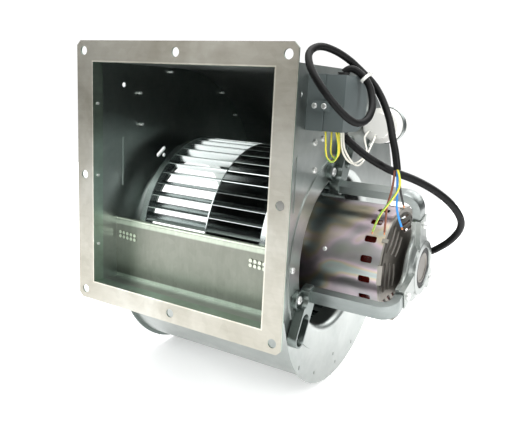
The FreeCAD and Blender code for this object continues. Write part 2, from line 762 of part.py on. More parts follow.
def make_arm(label, angle, lean):
    """A channel-section arm on a pressed foot; lean is the side the foot reaches to."""
    body = axis_body(label, turn=angle)
    seat = SIDE + " + wall + 1.5"
    inner = "arm_reach - arm_depth"
    run = "(foot_end_reach - foot_start_reach)"
    span = "sqrt(%s ^ 2 + foot_end_offset ^ 2)" % run
    along = "%d * atan2(foot_end_offset; %s) / 1deg" % (lean, run)
    half = "foot_half_width"
    root = new_sketch(body, "YZ_Plane", seat)
    rectangle(root, inner, "-arm_width / 2 - 2", "foot_start_reach + 6", "arm_width / 2 + 2")
    extrude(body, "Pad", root, "foot_height")
    foot = new_sketch(body, "YZ_Plane", seat, right="foot_start_reach", turn=along)
    outline(foot, [
        ("0", "-" + half),
        (span, "-" + half, half, "ccw"),
        (span + " + " + half, "0", half, "ccw"),
        (span, half),
        ("0", half, half, "ccw"),
        ("-" + half, "0", half, "ccw"),
    ])
    extrude(body, "Pad", foot, "foot_height")
    bolt = ("foot_bolt_reach", ROOT_BOLT[1] % lean)
    ear = new_sketch(body, "YZ_Plane", seat)
    circle(ear, bolt[0], bolt[1], "ear_radius")
    extrude(body, "Pad", ear, "foot_height / 2")
    well = new_sketch(body, "YZ_Plane", seat + " + arm_sheet")
    circle(well, bolt[0], bolt[1], "ear_radius - 2.5")
    extrude(body, "Pocket", well, "foot_height", backwards=True)
    groove = new_sketch(body, "YZ_Plane", seat + " + arm_sheet", right="foot_start_reach", turn=along)
    rounded_rectangle(groove, "24", "-9.5", span + " + 9.5", "9.5", "9.4")
    extrude(body, "Pocket", groove, "foot_height", backwards=True)
    holes = new_sketch(body, "YZ_Plane", seat)
    circle(holes, bolt[0], bolt[1], "foot_bolt_radius + 0.2")
    circle(holes, "foot_end_reach", END_BOLT[1] % lean, "foot_bolt_radius + 0.2")
    extrude(body, "Pocket", holes, "foot_height", backwards=True)
    side = new_sketch(body, "XY_Plane", "-arm_width / 2")
    outline(side, [
        (seat, "arm_reach"),
        (seat, inner),
        ("arm_face - arm_corner", inner, "arm_corner - arm_depth", "cw"),
        ("arm_face - arm_depth", "arm_reach - arm_corner"),
        ("arm_face - arm_depth", "arm_tip"),
        ("arm_face", "arm_tip"),
        ("arm_face", "arm_reach - arm_corner", "arm_corner", "ccw"),
        ("arm_face - arm_corner", "arm_reach"),
    ])
    extrude(body, "Pad", side, "arm_width")
    channel = new_sketch(body, "XY_Plane", "-arm_width / 2 + arm_sheet")
    start = seat + " + foot_height"
    outline(channel, [
        (start, "arm_reach - arm_sheet"),
        (start, inner + " - 1"),
        ("arm_face - arm_corner", inner + " - 1", "arm_corner - arm_depth - 1", "cw"),
        ("arm_face - arm_depth - 1", "arm_reach - arm_corner"),
        ("arm_face - arm_depth - 1", "arm_tip - 1"),
        ("arm_face - arm_sheet", "arm_tip - 1"),
        ("arm_face - arm_sheet", "arm_reach - arm_corner", "arm_corner - arm_sheet", "ccw"),
        ("arm_face - arm_corner", "arm_reach - arm_sheet"),
    ])
    extrude(body, "Pocket", channel, "arm_width - 2 * arm_sheet", backwards=True)
    screw_hole = new_sketch(body, "YZ_Plane", "arm_face - arm_depth")
    circle(screw_hole, "clamp_screw_reach", "0", "2.4")
    extrude(body, "Pocket", screw_hole, "arm_depth + 2", backwards=True)


ARMS = (("motor_arm_upper", "upper_angle", -1), ("motor_arm_lower", "lower_angle", 1))
CLAMPS = ((ARMS[0][1], "spider_front"), (ARMS[1][1], "spider_front"), ("spare_angle", "spare_front"))


def axis_cylinder(name, radius, front, back, back_shift="0", up_shift="0"):
    """A cylinder along the motor axis, which may stand a little to one side of it."""
    cylinder = doc.addObject("Part::Cylinder", name)
    cylinder.setExpression("Radius", bind(radius))
    cylinder.setExpression("Height", bind("%s - (%s)" % (back, front)))
    place(cylinder, front, "axis_back + " + back_shift, "-axis_drop + " + up_shift, Vector(0, 1, 0), "90")
    return cylinder


def make_spider():
    """The cast clamp that joins the arms and holds the motor's rubber ring, with a spare third seat."""
    web_back = "arm_face - arm_depth"
    web_front = web_back + " + web_sheet"
    lean = "(web_lean * 1deg)"
    web = [axis_cylinder("spider_disc", "web_radius", web_back, web_front,
                         "web_shift * cos(%s)" % lean, "web_shift * sin(%s)" % lean)]
    legs = []
    for number, (angle, front) in enumerate(CLAMPS):
        web.append(axis_leg("spider_root_%d" % number, angle, web_back, web_front, "-arm_width / 2 - 5",
                            "arm_width / 2 + 5", "30", "spider_end"))
        legs.append(axis_leg("spider_leg_%d" % number, angle, web_back, front, "-arm_width / 2 - 3",
                             "arm_width / 2 + 3", "ring_boss_radius - 9", "spider_end"))
    plate = doc.addObject("Part::MultiFuse", "spider_plate")
    plate.Shapes = web
    doc.recompute()
    rounded = doc.addObject("Part::Fillet", "spider_rounded")
    rounded.Base = plate
    radius = value("web_fillet")
    rounded.Edges = [(number, radius, radius) for number, edge in enumerate(plate.Shape.Edges, start=1)
                     if is_inner_corner(edge)]
    cone = doc.addObject("Part::Cone", "spider_cone")
    cone.setExpression("Radius1", bind("web_radius - 5"))
    cone.setExpression("Radius2", bind("ring_boss_radius - 1"))
    cone.setExpression("Height", bind("ring_front - 3 - (%s)" % web_front))
    place(cone, web_front, "axis_back", "-axis_drop", Vector(0, 1, 0), "90")
    ring = axis_cylinder("spider_ring", "ring_boss_radius", web_back, "ring_front")
    fused = doc.addObject("Part::MultiFuse", "spider_blank")
    fused.Shapes = [rounded, cone, ring] + legs
    cutters = [axis_cylinder("spider_bore", "rubber_radius", web_back + " - 5", "ring_front + 5")]
    for name, angle, side in ARMS:
        cutters.append(axis_leg(name + "_seat", angle, web_back + " - 1", "arm_face",
                                "-arm_width / 2 - 0.2", "arm_width / 2 + 0.2",
                                "arm_tip - 2", "spider_end + 5"))
    for number, (angle, front) in enumerate(CLAMPS):
        hole = doc.addObject("Part::Cylinder", "spider_hole_%d" % number)
        hole.Radius = 2.4
        hole.Height = 40
        centre = axis_point(value("arm_face - 20"), value("clamp_screw_reach"), value(angle))
        hole.Placement = Placement(centre, Rotation(Vector(0, 1, 0), 90))
        cutters.append(hole)
    cutting = doc.addObject("Part::MultiFuse", "spider_cutters")
    cutting.Shapes = cutters
    spider = doc.addObject("Part::Cut", "motor_spider")
    spider.Base = fused
    spider.Tool = cutting
    register(spider, "motor_spider")


def is_inner_corner(edge):
    """True for a straight edge along the motor axis where a leg leaves the spider's disc."""
    if edge.Curve.TypeId != "Part::GeomLine" or abs(edge.tangentAt(edge.FirstParameter).x) < 0.99:
        return False
    middle = edge.CenterOfMass
    reach = math.hypot(middle.y - value("axis_back"), middle.z + value("axis_drop"))
    return reach < value("web_radius + web_shift + 3")


def axis_leg(name, angle, front, back, left, right, low, high):
    """A box along an arm: front to back along the axis, left to right across, low to high outwards."""
    box = doc.addObject("Part::Box", name)
    box.setExpression("Length", bind("%s - (%s)" % (back, front)))
    box.setExpression("Width", bind("%s - (%s)" % (high, low)))
    box.setExpression("Height", bind("%s - (%s)" % (right, left)))
    turn = "(%s) * 1deg" % angle
    place(box, front,
          "axis_back + (%s) * cos(%s) - (%s) * sin(%s)" % (low, turn, left, turn),
          "-axis_drop + (%s) * sin(%s) + (%s) * cos(%s)" % (low, turn, left, turn),
          Vector(1, 0, 0), angle)
    return box


def make_motor_support():
    for label, angle, lean in ARMS:
        make_arm(label, angle, lean)
    make_spider()
    turned_part("rubber_ring", [
        ("arm_face - arm_depth + 1", "boss_radius"),
        ("boss_end - 0.5", "boss_radius"),
        ("boss_end", "boss_radius + 1"),
        ("boss_end", "rubber_radius - 1"),
        ("boss_end - 0.5", "rubber_radius"),
        ("arm_face - arm_depth + 1", "rubber_radius"),
    ])
    clamp_screws = []
    foot_bolts = []
    seat = value(SIDE + " + wall + 1.5")
    sheet = value("arm_sheet")
    out = Vector(1, 0, 0)
    for angle, front in CLAMPS:
        head = axis_point(value(front), value("clamp_screw_reach"), value(angle))
        clamp_screws.append(screw(head, out, 4.6, 3.2, 2.3, 9.0))
    for label, angle, lean in ARMS:
        for (reach, across), length in ((ROOT_BOLT, 8.0), (END_BOLT, 4.0)):
            base = axis_point(seat + sheet, value(reach), value(angle), value(across % lean))
            foot_bolts.append(screw(base, out, 5.5, 3.8, value("foot_bolt_radius"), length))
    solid_group("arm_clamp_screws", clamp_screws)
    solid_group("arm_foot_bolts", foot_bolts)


# ---------------------------------------------------------------- fasteners of the housing

def make_housing_screws():
    """Small screws and rivets through the side plates, their heads outside."""
    face = value(SIDE + " + wall")
    solids = []
    for side in (-1, 1):
        groups = ((FLANGE_RIVETS, 4.5, 0.0), (PLATE_SCREWS[side], 7.0, 0.0), ([CUTOFF_SCREW], 8.5, 1.5))
        for places, length, stand in groups:
            for back, high in places:
                head = Vector(side * (face + stand), back, high)
                solids.append(screw(head, Vector(side, 0, 0), 4.0, 2.4, value("screw_radius"), length))
    solid_group("housing_screws", solids)


# ---------------------------------------------------------------- terminal box

def box_outline(sketch, inset):
    """The D-shaped plan of the terminal box, seen along X, moved inwards."""
    round_ = "box_round - %s" % inset
    outline(sketch, [
        ("box_front + %s" % inset, "box_low + %s" % inset),
        ("box_back - box_round", "box_low + %s" % inset, round_, "ccw"),
        ("box_back - %s" % inset, "box_low + box_round"),
        ("box_back - %s" % inset, "box_high - box_round", round_, "ccw"),
        ("box_back - box_round", "box_high - %s" % inset),
        ("box_front + %s" % inset, "box_high - %s" % inset),
    ])


def make_terminal_box():
    face = SIDE + " + wall"
    base = new_body("terminal_box_base")
    tray = new_sketch(base, "YZ_Plane", face)
    box_outline(tray, "0")
    extrude(base, "Pad", tray, "box_base")
    hollow = new_sketch(base, "YZ_Plane", face + " + box_wall")
    box_outline(hollow, "box_wall")
    extrude(base, "Pocket", hollow, "box_base", backwards=True)
    fixings = new_sketch(base, "YZ_Plane", face)
    for back, high in BOX_SCREWS:
        circle(fixings, str(back), str(high), "screw_radius + 0.1")
    extrude(base, "Pocket", fixings, "box_wall", backwards=True)
    seam = face + " + box_base + 0.6"
    cover = new_body("terminal_box_cover")
    lid = new_sketch(cover, "YZ_Plane", seam)
    box_outline(lid, "0.4")
    extrude(cover, "Pad", lid, "box_cover")
    inside = new_sketch(cover, "YZ_Plane", seam + " - 1")
    box_outline(inside, "(box_wall + 0.4)")
    extrude(cover, "Pocket", inside, "box_cover - box_wall + 1", backwards=True)
    start = value(face) + value("box_wall")
    block = Part.makeBox(12, 34, 40, Vector(start, 84, 90))
    for number in range(5):
        way = Vector(start + 5, 101, 94 + 8 * number)
        block = block.cut(Part.makeCylinder(2.2, 8, way, Vector(1, 0, 0)))
    solid_group("terminal_block", [block])
    fixing_face = value(face + " + box_wall")
    solid_group("terminal_box_screws", [
        screw(Vector(fixing_face, back, high), Vector(1, 0, 0), 3.6, 2.4, value("screw_radius"), 7.0)
        for back, high in BOX_SCREWS])
    front = value("box_front")
    clamp = Part.makeBox(22, 5, 11, Vector(value(face) + 7.5, front - 5, 101))
    screws = []
    for shift in (5, 17):
        head = Vector(value(face) + 7.5 + shift, front - 5, 106.5)
        clamp = clamp.cut(Part.makeCylinder(1.6, 3.0, head, Vector(0, 1, 0)))
        screws.append(screw(head, Vector(0, -1, 0), 3.2, 2.0, 1.5, 2.0))
    solid_group("cord_clamp", [clamp])
    solid_group("cord_clamp_screws", screws)
    gland_body("supply_gland", SUPPLY_GLAND, value("box_high - 0.4"), 1)
    gland_body("motor_cable_gland", MOTOR_GLAND, value("box_low + 0.4"), -1)


SUPPLY_GLAND = (167.5, 98.0)
MOTOR_GLAND = (171.5, 97.0)
GLAND_HEIGHT = 3.6


def gland_body(label, centre, wall, up):
    """A ribbed rubber cord grommet that stands on a wall."""
    radius = value("gland_radius")
    direction = Vector(0, 0, up)
    base = Vector(centre[0], centre[1], wall)
    body = Part.makeCylinder(radius, GLAND_HEIGHT, base, direction)
    groove = Part.makeCylinder(radius + 1, 1.0, base + direction * 1.2, direction)
    groove = groove.cut(Part.makeCylinder(radius - 1.0, 1.0, base + direction * 1.2, direction))
    solid_group(label, [body.cut(groove)])


# ---------------------------------------------------------------- capacitor

def make_capacitor():
    radius = value("can_radius")
    centre = Vector(value("can_out"), value("can_front"), value("can_up"))
    along = Vector(0, 1, 0)
    can = doc.addObject("Part::Cylinder", "capacitor_can")
    can.setExpression("Radius", bind("can_radius"))
    can.setExpression("Height", bind("can_length"))
    place(can, "can_out", "can_front", "can_up", Vector(1, 0, 0), "-90")
    register(can, "capacitor_can")
    length = value("cap_length")
    cap = Part.makeCylinder(radius - 6.5, length, centre - along * length, along)
    solid_group("capacitor_cap", [cap])
    tags = [Part.makeBox(5, 5, 0.8, centre + Vector(x, -length - 5, z))
            for x, z in ((-11.5, -8), (-2.5, -13))]
    solid_group("capacitor_tags", tags)
    face = value(SIDE + " + wall")
    band = Part.makeCylinder(radius + 1.4, 12, centre + along * 26, along)
    band = band.cut(Part.makeCylinder(radius + 0.2, 12, centre + along * 26, along))
    spread = value("clip_screw_offset")
    foot = Part.makeBox(1.5, 12, 2 * spread + 10, Vector(face, centre.y + 26, centre.z - spread - 5))
    neck = Part.makeBox(8, 12, 24, Vector(face, centre.y + 26, centre.z - 12))
    neck = neck.cut(Part.makeCylinder(radius + 0.2, 12, centre + along * 26, along))
    clip = band.fuse([foot, neck]).removeSplitter()
    screws = []
    for sign in (-1, 1):
        seat = Vector(face + 1.5, centre.y + 32, centre.z + sign * spread)
        hole = Part.makeCylinder(value("screw_radius") + 0.1, 4, seat - Vector(3, 0, 0), Vector(1, 0, 0))
        clip = clip.cut(hole)
        screws.append(screw(seat, Vector(1, 0, 0), 3.8, 2.4, value("screw_radius"), 6.0))
    solid_group("capacitor_clip", [clip])
    solid_group("capacitor_screws", screws)


# ---------------------------------------------------------------- cords

def rounded_path(points):
    """Straight runs joined by tangent arcs, each as large as its two runs allow."""
    edges = []
    radii = []
    start = points[0]
    for before, corner, after in zip(points, points[1:], points[2:]):
        back = before - corner
        ahead = after - corner
        turn = math.pi - back.getAngle(ahead)
        cut = 0.45 * min(back.Length, ahead.Length)
        radii.append(cut / math.tan(turn / 2))
        enter = corner + Vector(back).normalize() * cut
        leave = corner + Vector(ahead).normalize() * cut
        bisector = (Vector(back).normalize() + Vector(ahead).normalize()).normalize()
        reach = math.hypot(radii[-1], cut) - radii[-1]
        edges.append(Part.LineSegment(start, enter).toShape())
        edges.append(Part.Arc(enter, corner + bisector * reach, leave).toShape())
        start = leave
    edges.append(Part.LineSegment(start, points[-1]).toShape())
    return Part.Wire(edges), radii


def make_cord(label, radius, route):
    """A round cord along a route, as a closed tube."""
    points = [Vector(*p) for p in route]
    path, radii = rounded_path(points)
    direction = (points[1] - points[0]).normalize()
    profile = Part.Wire(Part.Circle(points[0], direction, radius).toShape())
    tube = path.makePipeShell([profile], True, False)
    expected = math.pi * radius ** 2 * path.Length
    print("%-22s length %6.1f  least radius %5.1f  volume ratio %.4f  radii %s"
          % (label, path.Length, min(radii), tube.Volume / expected, [round(r) for r in radii]))
    solid_group(label, [tube])


def make_cable_tie(label, first, second, along, radius):
    """A narrow band round two neighbouring cords, with its lock and a short tail."""
    along = along.normalize()
    across = second - first
    across = (across - along * across.dot(along)).normalize()
    up = along.cross(across)
    width = 3.6
    start = first - along * (width / 2)
    apart = (second - first).dot(across)

    def hull(reach):
        ends = [Part.makeCylinder(reach, width, start + across * shift, along) for shift in (0, apart)]
        corners = [start - up * reach, start + across * apart - up * reach,
                   start + across * apart + up * reach, start + up * reach]
        middle = Part.Face(Part.makePolygon(corners + corners[:1])).extrude(along * width)
        return ends[0].fuse([ends[1], middle]).removeSplitter()

    band = hull(radius + 1.4).cut(hull(radius + 0.05))
    corner = start + across * (apart / 2 - 2.5) + up * (radius + 0.6)
    lock = block(corner, across * 5, up * 4.5, along * width)
    tail = block(corner + up * 4, across * 16 + up * 3, up * 1.1, along * width)
    solid_group(label, [band.fuse([lock, tail]).removeSplitter()])


def block(corner, first, second, third):
    """A solid with three edge vectors from one corner."""
    points = [corner, corner + first, corner + first + second, corner + second, corner]
    return Part.Face(Part.makePolygon(points)).extrude(third)


SUPPLY_ROUTE = [
    (167.5, 98.0, 145.2), (172.5, 100.6, 151.6), (183.8, 105.2, 146.3), (195.4, 107.6, 133.7),
    (201.9, 103.9, 120.0), (206.7, 95.9, 106.0), (206.1, 82.5, 92.6), (199.7, 68.2, 89.3),
    (190.1, 57.7, 97.4), (179.0, 50.3, 110.2), (167.8, 45.7, 123.9), (156.3, 44.5, 138.5),
    (145.8, 48.5, 153.8), (140.8, 58.9, 166.1), (146.2, 74.3, 173.1), (158.0, 91.2, 168.9),
    (169.6, 107.8, 159.6), (181.3, 117.6, 147.5), (194.1, 122.8, 135.6), (204.4, 123.2, 122.2),
    (213.9, 119.3, 107.5), (222.6, 113.2, 92.4), (229.3, 105.8, 75.7), (236.3, 101.9, 58.5),
    (240.8, 98.9, 40.7),
]
MOTOR_ROUTE = [
    (171.5, 97.0, 74.8), (180.5, 100.6, 66.6), (194.3, 103.6, 55.8), (210.6, 110.6, 45.1),
    (228.9, 124.3, 34.7), (250.8, 144.4, 25.9), (274.3, 167.7, 10.0), (291.5, 188.3, -10.5),
    (297.2, 207.5, -32.8), (282.0, 222.0, -57.0), (262.0, 231.0, -74.5), (249.0, 238.0, -83.0),
    (236.0, 239.0, -86.0),
]
TIE_PLACE = (Vector(190.0, 106.4, 139.6), Vector(186.4, 119.7, 142.8), Vector(0.69, 0.22, -0.69))
CORE_ROUTES = {
    "core_brown": [
        (237.9, 98.9, 43.0), (237.2, 101.2, 30.9), (235.6, 102.3, 14.7), (231.1, 102.9, -2.4),
        (231.3, 104.2, -19.3), (230.6, 105.4, -34.0),
    ],
    "core_yellow_green": [
        (240.6, 96.9, 44.3), (246.0, 97.2, 32.5), (246.3, 95.3, 19.2), (236.8, 94.7, 3.2),
        (224.6, 95.2, -15.0), (219.0, 98.0, -33.5),
    ],
    "core_blue": [
        (239.6, 101.7, 43.2), (240.6, 103.7, 26.5), (241.3, 106.1, 9.5), (242.5, 105.2, -8.3),
        (250.4, 104.6, -24.3),
    ],
    "core_black": [
        (242.6, 99.7, 44.3), (243.9, 101.0, 27.9), (246.7, 101.6, 13.3), (250.3, 104.4, 1.0),
    ],
}
LEAD_ROUTES = {
    "earth_wire_front": [
        (160.0, 75.5, 78.0), (161.5, 75.5, 66.7), (161.6, 75.6, 56.9), (163.3, 76.2, 48.1),
        (169.5, 78.0, 42.4), (174.8, 80.0, 48.8), (174.9, 81.0, 58.5), (173.9, 81.2, 68.1),
        (171.0, 80.4, 78.0),
    ],
    "earth_wire_rear": [
        (164.5, 82.6, 78.0), (164.9, 82.8, 67.2), (164.2, 83.2, 58.4), (165.3, 84.0, 50.5),
        (170.1, 85.2, 46.8), (173.9, 86.2, 51.7), (173.9, 86.6, 59.6), (173.0, 86.0, 67.8),
        (173.0, 83.5, 78.0),
    ],
    "capacitor_lead_lower": [
        (176.8, 87.8, 78.0), (176.8, 90.0, 62.8), (180.0, 94.0, 53.6), (183.4, 100.0, 45.3),
        (186.8, 110.0, 38.4), (187.0, 125.0, 39.3), (183.6, 144.0, 44.0), (177.3, 166.0, 50.1),
        (167.1, 188.0, 56.3), (156.4, 208.0, 62.3), (150.2, 224.0, 67.6), (152.5, 233.0, 73.2),
    ],
    "capacitor_lead_upper": [
        (175.5, 84.6, 78.0), (175.8, 86.5, 62.8), (177.4, 91.0, 52.9), (179.9, 98.0, 45.3),
        (183.0, 108.0, 40.6), (182.7, 125.6, 41.2), (179.2, 152.0, 44.4), (172.0, 184.0, 48.2),
        (168.2, 201.0, 53.2), (166.8, 210.0, 58.3), (164.3, 224.0, 62.6), (161.5, 233.0, 68.2),
    ],
}


# ---------------------------------------------------------------- build

make_outlet_flange()
make_scroll_wrap()
make_side_plate("side_plate_left", -1)
make_side_plate("side_plate_right", 1)
make_cutoff_plate()
make_inlet_ring("inlet_ring_left", "180", -1)
make_inlet_ring("inlet_ring_right", "0", 1)
make_wheel()
make_motor()
make_motor_support()
make_housing_screws()
make_terminal_box()
make_capacitor()
make_cord("supply_cable", value("supply_cable_radius"), SUPPLY_ROUTE)
make_cord("motor_cable", value("motor_cable_radius"), MOTOR_ROUTE)
for core, core_route in CORE_ROUTES.items():
    make_cord(core, value("core_radius"), core_route)
for lead, lead_route in LEAD_ROUTES.items():
    make_cord(lead, value("lead_radius"), lead_route)
make_cable_tie("cable_tie", *TIE_PLACE, value("supply_cable_radius"))

doc.recompute()

for obj in doc.Objects:
    if "Invalid" in obj.State or "Error" in obj.State:
        raise RuntimeError("%s failed: %s" % (obj.Label, obj.State))
for obj in nodes:
    if obj.Shape.isNull() or not obj.Shape.isValid() or not obj.Shape.Solids:
        raise RuntimeError("%s has no valid solid" % obj.Label)

os.makedirs("parts", exist_ok=True)
for obj in nodes:
    obj.Shape.exportStep("parts/%s.step" % obj.Label)
print("%d sub-parts" % len(nodes))
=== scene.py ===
"""Looks for the double-inlet blower: materials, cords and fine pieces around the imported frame."""

import json
import math

import bmesh
import bpy
from mathutils import Matrix, Vector


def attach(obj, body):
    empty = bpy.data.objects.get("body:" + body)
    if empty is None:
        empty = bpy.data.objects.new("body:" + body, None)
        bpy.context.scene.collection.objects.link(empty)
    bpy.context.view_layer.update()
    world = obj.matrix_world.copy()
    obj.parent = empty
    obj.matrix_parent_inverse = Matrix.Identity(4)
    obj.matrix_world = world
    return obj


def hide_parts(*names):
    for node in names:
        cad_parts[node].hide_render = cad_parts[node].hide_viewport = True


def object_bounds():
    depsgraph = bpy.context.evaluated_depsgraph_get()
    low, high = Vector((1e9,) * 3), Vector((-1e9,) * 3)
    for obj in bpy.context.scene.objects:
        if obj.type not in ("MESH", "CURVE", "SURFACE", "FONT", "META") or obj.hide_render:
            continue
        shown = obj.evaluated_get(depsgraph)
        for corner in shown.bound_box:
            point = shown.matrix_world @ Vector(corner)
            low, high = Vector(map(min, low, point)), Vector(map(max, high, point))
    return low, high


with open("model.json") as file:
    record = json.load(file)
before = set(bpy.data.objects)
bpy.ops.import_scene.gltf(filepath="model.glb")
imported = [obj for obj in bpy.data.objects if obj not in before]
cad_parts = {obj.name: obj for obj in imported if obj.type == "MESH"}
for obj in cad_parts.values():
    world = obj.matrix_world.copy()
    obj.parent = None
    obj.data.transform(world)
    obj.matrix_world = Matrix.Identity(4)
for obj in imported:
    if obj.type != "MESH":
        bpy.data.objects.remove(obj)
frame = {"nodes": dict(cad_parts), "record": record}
cad_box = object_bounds()
scene = bpy.context.scene
nodes = frame["nodes"]
MM = 0.001


# ---------------------------------------------------------------- camera

CAMERA_PLACE = (0.4491, -0.5444, 0.1196)
CAMERA_AZIMUTH = 30.33
CAMERA_ELEVATION = 11.59
CAMERA_ROLL = 3.06
SENSOR = 36.0
FOCAL_SHARE = 1.11316       # focal length as a share of the picture's width


def make_camera():
    turn, lift, roll = (math.radians(a) for a in (CAMERA_AZIMUTH, CAMERA_ELEVATION, CAMERA_ROLL))
    level = Vector((math.cos(turn), math.sin(turn), 0))
    back = Vector((math.sin(turn) * math.cos(lift), -math.cos(turn) * math.cos(lift), math.sin(lift)))
    upright = back.cross(level)
    right = level * math.cos(roll) + upright * math.sin(roll)
    up = upright * math.cos(roll) - level * math.sin(roll)
    data = bpy.data.cameras.new("camera")
    data.sensor_width = SENSOR
    data.lens = SENSOR * FOCAL_SHARE
    data.clip_start = 0.01
    data.clip_end = 60
    camera = bpy.data.objects.new("camera", data)
    camera.matrix_world = Matrix.Translation(CAMERA_PLACE) @ Matrix((right, up, back)).transposed().to_4x4()
    scene.collection.objects.link(camera)
    scene.camera = camera


make_camera()


# ---------------------------------------------------------------- materials

# Places where painted shade and painted highlights change, in metres in the object's own frame.
FLANGE_OPENING = (0.1325, 0.1445)       # half width and half height
FLANGE_WIDTH = 0.0275
FLANGE_HEIGHTS = (-0.17, 0.17)
CUTOFF_HEIGHTS = (-0.146, -0.06)        # from the duct's floor to just above the hem
CUTOFF_DIMPLES = (0.0425, 0.0440)       # from the dimples' tops to the sheet
FOOT_DEPTHS = (0.137, 0.160)            # from the side plate outwards
SHELL_LENGTH = (0.10, 0.24)
SHELL_HEIGHTS = (-0.166, -0.018)
SPANGLE_SCALE = 110.0


def new_material(name):
    material = bpy.data.materials.new(name)
    material.use_nodes = True
    tree = material.node_tree
    tree.nodes.clear()
    shader = tree.nodes.new("ShaderNodeBsdfPrincipled")
    output = tree.nodes.new("ShaderNodeOutputMaterial")
    tree.links.new(shader.outputs["BSDF"], output.inputs["Surface"])
    return material, tree, shader


def coordinates(tree, stretch=(1, 1, 1)):
    """The object's own coordinates in metres, stretched for a grain that runs one way."""
    source = tree.nodes.new("ShaderNodeTexCoord")
    mapping = tree.nodes.new("ShaderNodeMapping")
    mapping.inputs["Scale"].default_value = stretch
    tree.links.new(source.outputs["Object"], mapping.inputs["Vector"])
    return mapping.outputs["Vector"]


def noise(tree, vector, scale, detail=3.0, rough=0.55, distortion=0.0):
    node = tree.nodes.new("ShaderNodeTexNoise")
    node.inputs["Scale"].default_value = scale
    node.inputs["Detail"].default_value = detail
    node.inputs["Roughness"].default_value = rough
    node.inputs["Distortion"].default_value = distortion
    tree.links.new(vector, node.inputs["Vector"])
    return node.outputs["Fac"]


def cells(tree, vector, scale):
    """A random value in each cell of a zinc spangle."""
    node = tree.nodes.new("ShaderNodeTexVoronoi")
    node.inputs["Scale"].default_value = scale
    tree.links.new(vector, node.inputs["Vector"])
    split = tree.nodes.new("ShaderNodeSeparateColor")
    tree.links.new(node.outputs["Color"], split.inputs["Color"])
    return split.outputs["Red"]


def ramp(tree, factor, stops):
    node = tree.nodes.new("ShaderNodeValToRGB")
    elements = node.color_ramp.elements
    elements[0].position, elements[0].color = stops[0][0], (*stops[0][1], 1)
    elements[1].position, elements[1].color = stops[-1][0], (*stops[-1][1], 1)
    for place, colour in stops[1:-1]:
        elements.new(place).color = (*colour, 1)
    tree.links.new(factor, node.inputs["Fac"])
    return node.outputs["Color"]


def mix(tree, mode, amount, first, second):
    node = tree.nodes.new("ShaderNodeMix")
    node.data_type = "RGBA"
    node.blend_type = mode
    node.inputs["Factor"].default_value = amount
    tree.links.new(first, node.inputs["A"])
    tree.links.new(second, node.inputs["B"])
    return node.outputs["Result"]


def remap(tree, factor, low, high, start=0.0, end=1.0):
    """Low to high while the factor goes from start to end."""
    node = tree.nodes.new("ShaderNodeMapRange")
    for socket, value in (("From Min", start), ("From Max", end), ("To Min", low), ("To Max", high)):
        node.inputs[socket].default_value = value
    tree.links.new(factor, node.inputs["Value"])
    return node.outputs["Result"]


def axes(tree, vector):
    """The X, Y and Z sockets of a vector."""
    split = tree.nodes.new("ShaderNodeSeparateXYZ")
    tree.links.new(vector, split.inputs["Vector"])
    return split.outputs


def grey(value):
    return (value,) * 3


def bump(tree, shader, height, strength, distance):
    node = tree.nodes.new("ShaderNodeBump")
    node.inputs["Strength"].default_value = strength
    node.inputs["Distance"].default_value = distance
    tree.links.new(height, node.inputs["Height"])
    tree.links.new(node.outputs["Normal"], shader.inputs["Normal"])


def gradient(tree, axis, low, high):
    """0 to 1 along one of the object's axes, from low to high."""
    return remap(tree, axes(tree, coordinates(tree))[axis], 0.0, 1.0, low, high)


def calculate(tree, operation, first, second=0.0):
    """One Math node; either value may be a socket or a number."""
    node = tree.nodes.new("ShaderNodeMath")
    node.operation = operation
    for socket, value in zip(node.inputs, (first, second)):
        if isinstance(value, (int, float)):
            socket.default_value = value
        else:
            tree.links.new(value, socket)
    return node.outputs["Value"]


def border(tree, half_wide, half_high, width):
    """0 at the edge of a rectangular opening in a frame, 1 at the frame's outer edge."""
    place = axes(tree, coordinates(tree))
    across = calculate(tree, "SUBTRACT", calculate(tree, "ABSOLUTE", place["X"]), half_wide)
    up = calculate(tree, "SUBTRACT", calculate(tree, "ABSOLUTE", place["Z"]), half_high)
    return calculate(tree, "DIVIDE", calculate(tree, "MAXIMUM", across, up), width)


def facing(tree, axis):
    """1 where a face looks straight along one of the axes, 0 where it lies along it."""
    source = tree.nodes.new("ShaderNodeNewGeometry")
    return calculate(tree, "ABSOLUTE", axes(tree, source.outputs["Normal"])[axis])


